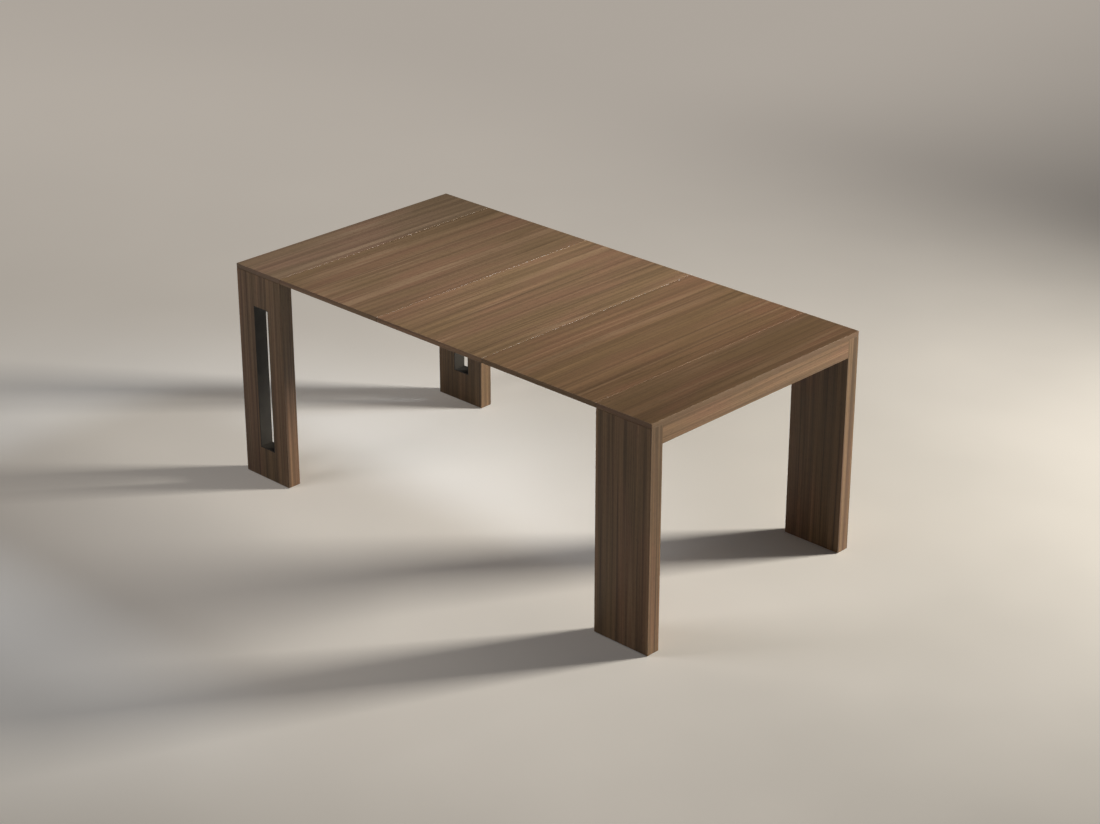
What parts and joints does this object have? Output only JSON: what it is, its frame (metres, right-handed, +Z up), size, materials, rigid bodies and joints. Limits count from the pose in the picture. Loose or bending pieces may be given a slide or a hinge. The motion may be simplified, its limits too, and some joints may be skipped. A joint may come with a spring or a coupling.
{
  "type": "extending table",
  "caption": "Extending table: slab-leg end frames on telescopic runner packs, lift-off leaves level with the top and leaf storage slots through one end's legs.",
  "frame": {"origin": "floor level under the middle of the table as it stands in the picture", "axes": "+X along the table to the fixed end frame, -Y the near long side, +Z up"},
  "size_m": [1.821, 0.95, 0.75],
  "materials": {
    "walnut": "matt lacquered veneer",
    "liner": "matt charcoal",
    "aluminium": "anodised",
    "steel": "zinc plated",
    "nylon": "moulded"
  },
  "bodies": {
    "fixed_frame": {"fixed_top_board": "walnut", "fixed_near_leg": "walnut", "fixed_far_leg": "walnut", "fixed_end_rail": "walnut", "fixed_leg_angles": "steel", "fixed_rail_angles": "steel", "fixed_glides": "nylon", "fixed_catch_pins": "steel", "fixed_runner_bars": "aluminium", "fixed_runner_angles": "steel", "fixed_screws": "steel", "fixed_end_caps": "nylon"},
    "moving_frame": {"moving_top_board": "walnut", "moving_near_leg": "walnut", "moving_far_leg": "walnut", "moving_end_rail": "walnut", "moving_leg_angles": "steel", "moving_rail_angles": "steel", "moving_glides": "nylon", "moving_catch_pins": "steel", "moving_runner_bars": "aluminium", "moving_runner_angles": "steel", "moving_screws": "steel", "moving_end_caps": "nylon", "moving_sliders": "nylon", "near_slot_liner": "liner", "far_slot_liner": "liner"},
    "stage_1": {"stage_1_bars": "aluminium", "stage_1_sliders": "nylon", "stage_1_end_caps": "nylon"},
    "stage_2": {"stage_2_bars": "aluminium", "stage_2_sliders": "nylon", "stage_2_end_caps": "nylon"},
    "stage_3": {"stage_3_bars": "aluminium", "stage_3_sliders": "nylon", "stage_3_end_caps": "nylon"},
    "stage_4": {"stage_4_bars": "aluminium", "stage_4_sliders": "nylon", "stage_4_end_caps": "nylon"},
    "stage_5": {"stage_5_bars": "aluminium", "stage_5_sliders": "nylon", "stage_5_end_caps": "nylon"},
    "stage_6": {"stage_6_bars": "aluminium", "stage_6_sliders": "nylon", "stage_6_end_caps": "nylon"},
    "leaf_1": {"leaf_1_board": "walnut", "leaf_1_catch_pins": "steel"},
    "leaf_2": {"leaf_2_board": "walnut", "leaf_2_catch_pins": "steel"},
    "leaf_3": {"leaf_3_board": "walnut", "leaf_3_catch_pins": "steel"},
    "leaf_1_near_hook": {"leaf_1_near_hook": "steel"},
    "leaf_1_far_hook": {"leaf_1_far_hook": "steel"},
    "leaf_2_near_hook": {"leaf_2_near_hook": "steel"},
    "leaf_2_far_hook": {"leaf_2_far_hook": "steel"},
    "leaf_3_near_hook": {"leaf_3_near_hook": "steel"},
    "leaf_3_far_hook": {"leaf_3_far_hook": "steel"},
    "fixed_near_hook": {"fixed_near_hook": "steel"},
    "fixed_far_hook": {"fixed_far_hook": "steel"}
  },
  "joints": [
    {"name": "frame_slide", "type": "slide", "parent": "fixed_frame", "child": "moving_frame", "axis": [-1, 0, 0], "range_m": [0, 0.465]},
    {"name": "stage_1_slide", "type": "slide", "parent": "fixed_frame", "child": "stage_1", "axis": [-1, 0, 0], "range_m": [0, 0.0665]},
    {"name": "stage_2_slide", "type": "slide", "parent": "fixed_frame", "child": "stage_2", "axis": [-1, 0, 0], "range_m": [0, 0.1329]},
    {"name": "stage_3_slide", "type": "slide", "parent": "fixed_frame", "child": "stage_3", "axis": [-1, 0, 0], "range_m": [0, 0.1993]},
    {"name": "stage_4_slide", "type": "slide", "parent": "fixed_frame", "child": "stage_4", "axis": [-1, 0, 0], "range_m": [0, 0.2658]},
    {"name": "stage_5_slide", "type": "slide", "parent": "fixed_frame", "child": "stage_5", "axis": [-1, 0, 0], "range_m": [0, 0.3322]},
    {"name": "stage_6_slide", "type": "slide", "parent": "fixed_frame", "child": "stage_6", "axis": [-1, 0, 0], "range_m": [0, 0.3986]},
    {"name": "leaf_1_lift", "type": "slide", "parent": "fixed_frame", "child": "leaf_1", "axis": [0, 0, 1], "range_m": [0, 0.15]},
    {"name": "leaf_2_lift", "type": "slide", "parent": "fixed_frame", "child": "leaf_2", "axis": [0, 0, 1], "range_m": [0, 0.15]},
    {"name": "leaf_3_lift", "type": "slide", "parent": "fixed_frame", "child": "leaf_3", "axis": [0, 0, 1], "range_m": [0, 0.15]},
    {"name": "leaf_1_near_hook_swing", "type": "hinge", "parent": "leaf_1", "child": "leaf_1_near_hook", "pos_m": [-0.6675, -0.1779, 0.7323], "axis": [0, 0, 1], "range_deg": [0, 90]},
    {"name": "leaf_1_far_hook_swing", "type": "hinge", "parent": "leaf_1", "child": "leaf_1_far_hook", "pos_m": [-0.6675, 0.1779, 0.7323], "axis": [0, 0, -1], "range_deg": [0, 90]},
    {"name": "leaf_2_near_hook_swing", "type": "hinge", "parent": "leaf_2", "child": "leaf_2_near_hook", "pos_m": [-0.2035, -0.1779, 0.7323], "axis": [0, 0, 1], "range_deg": [0, 90]},
    {"name": "leaf_2_far_hook_swing", "type": "hinge", "parent": "leaf_2", "child": "leaf_2_far_hook", "pos_m": [-0.2035, 0.1779, 0.7323], "axis": [0, 0, -1], "range_deg": [0, 90]},
    {"name": "leaf_3_near_hook_swing", "type": "hinge", "parent": "leaf_3", "child": "leaf_3_near_hook", "pos_m": [0.2605, -0.1779, 0.7323], "axis": [0, 0, 1], "range_deg": [0, 90]},
    {"name": "leaf_3_far_hook_swing", "type": "hinge", "parent": "leaf_3", "child": "leaf_3_far_hook", "pos_m": [0.2605, 0.1779, 0.7323], "axis": [0, 0, -1], "range_deg": [0, 90]},
    {"name": "fixed_near_hook_swing", "type": "hinge", "parent": "fixed_frame", "child": "fixed_near_hook", "pos_m": [0.7245, -0.1779, 0.7323], "axis": [0, 0, 1], "range_deg": [0, 90]},
    {"name": "fixed_far_hook_swing", "type": "hinge", "parent": "fixed_frame", "child": "fixed_far_hook", "pos_m": [0.7245, 0.1779, 0.7323], "axis": [0, 0, -1], "range_deg": [0, 90]}
  ],
  "couplings": [
    {"joint": "stage_1_slide", "follows": "frame_slide", "ratio": 0.14286},
    {"joint": "stage_2_slide", "follows": "frame_slide", "ratio": 0.28571},
    {"joint": "stage_3_slide", "follows": "frame_slide", "ratio": 0.42857},
    {"joint": "stage_4_slide", "follows": "frame_slide", "ratio": 0.57143},
    {"joint": "stage_5_slide", "follows": "frame_slide", "ratio": 0.71429},
    {"joint": "stage_6_slide", "follows": "frame_slide", "ratio": 0.85714}
  ]
}
